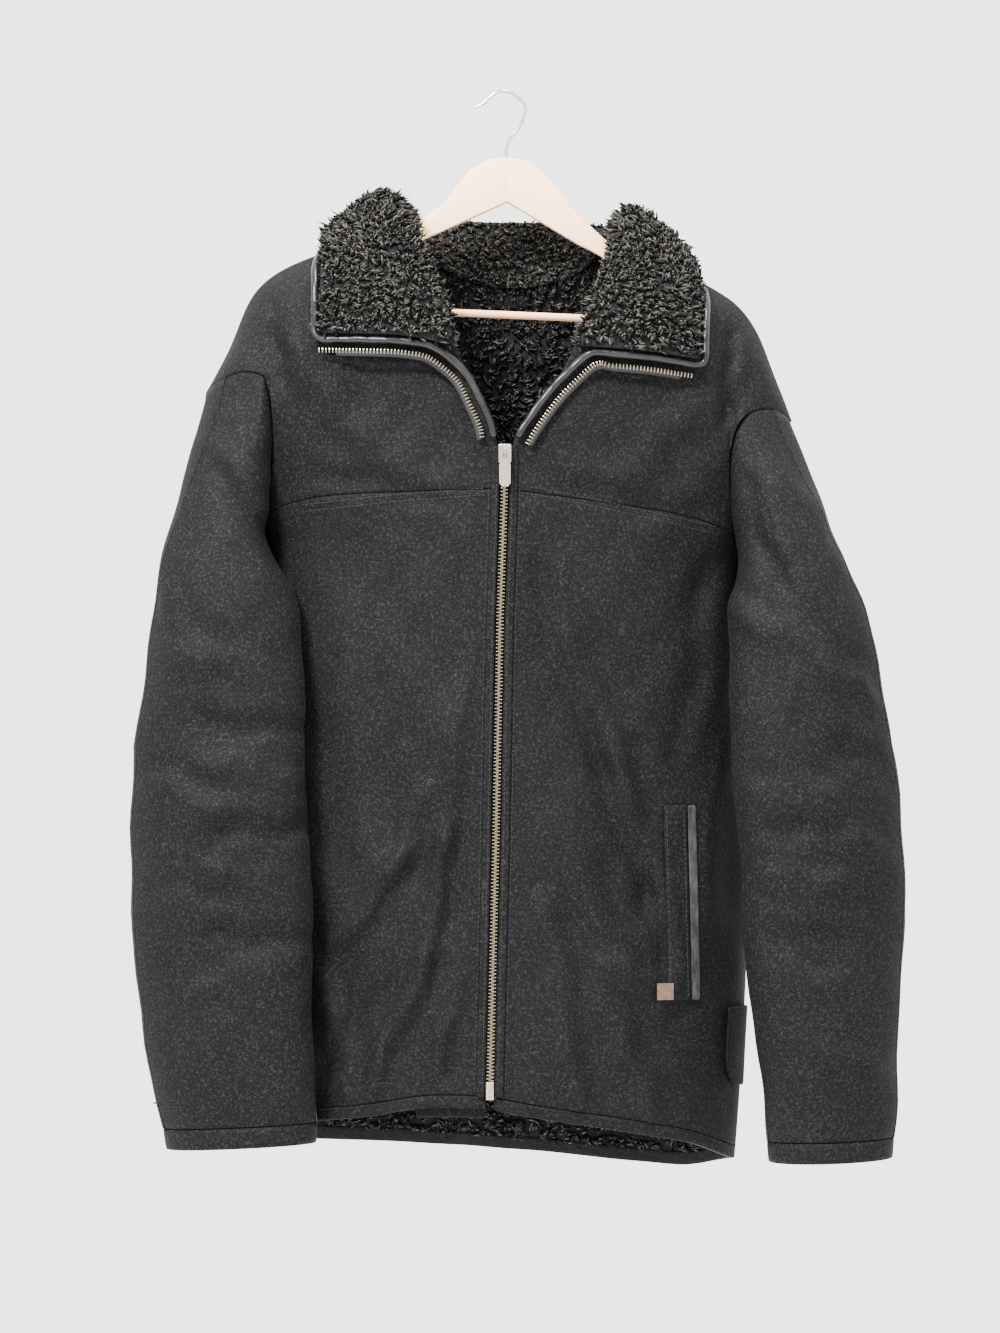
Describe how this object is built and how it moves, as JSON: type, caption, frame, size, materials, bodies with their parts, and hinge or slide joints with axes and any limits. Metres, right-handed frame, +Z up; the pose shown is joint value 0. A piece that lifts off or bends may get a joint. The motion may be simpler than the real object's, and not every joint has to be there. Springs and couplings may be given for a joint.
{
  "type": "shearling jacket on hanger",
  "caption": "Hip-length shearling-lined leather jacket with a turned-back pile collar and a zip front, hanging open at the neck on a wooden hanger with a wire hook.",
  "frame": {"origin": "mount hook_rest: the underside of the hook's crown, where it rests on its rail", "axes": "+Z up, -Y the way the jacket's front faces, -X the side that is on the left when the front is seen"},
  "size_m": [0.6624, 0.1889, 0.9275],
  "materials": {
    "outer_leather": "antiqued suede with a speckled sheen",
    "binding_leather": "smooth, semi-gloss",
    "pile": "tufted shearling",
    "zip_metal": "antique brass",
    "zip_tape": "woven",
    "worn_facing": "worn and flaking",
    "birch": "clear lacquer",
    "hook_wire": "bright",
    "plate": "satin"
  },
  "bodies": {
    "jacket": {"back": "outer_leather", "collar_back": "pile", "cuff_left": "outer_leather", "cuff_right": "outer_leather", "front_edge_left": "binding_leather", "front_edge_right": "binding_leather", "front_left": "outer_leather", "front_right": "outer_leather", "hang_loop": "outer_leather", "hanger_bar": "birch", "hanger_hook": "hook_wire", "hanger_yoke": "birch", "hem_back": "outer_leather", "hem_front_left": "outer_leather", "hem_front_right": "outer_leather", "lapel_binding_left": "binding_leather", "lapel_binding_right": "binding_leather", "lapel_left": "pile", "lapel_right": "pile", "pocket_facing_left": "worn_facing", "pocket_facing_right": "worn_facing", "pocket_plate": "plate", "pocket_welt_left": "outer_leather", "pocket_welt_right": "outer_leather", "side_strap_left": "outer_leather", "side_strap_right": "outer_leather", "sleeve_left_back": "outer_leather", "sleeve_left_front": "outer_leather", "sleeve_right_back": "outer_leather", "sleeve_right_front": "outer_leather", "wind_flap": "outer_leather", "yoke_left": "outer_leather", "yoke_right": "outer_leather", "zip_box": "zip_metal", "zip_chain": "zip_metal", "zip_crown": "zip_metal", "zip_row_left": "zip_metal", "zip_row_right": "zip_metal", "zip_slider": "zip_metal", "zip_tape_left": "zip_tape", "zip_tape_right": "zip_tape"},
    "pull_tab": {"zip_pull_tab": "zip_metal"}
  },
  "joints": [
    {"name": "pull_tab_hinge", "type": "hinge", "parent": "jacket", "child": "pull_tab", "pos_m": [0.00162, -0.09816, -0.312], "axis": [-1, 0, 0], "range_deg": [0, 150]}
  ]
}
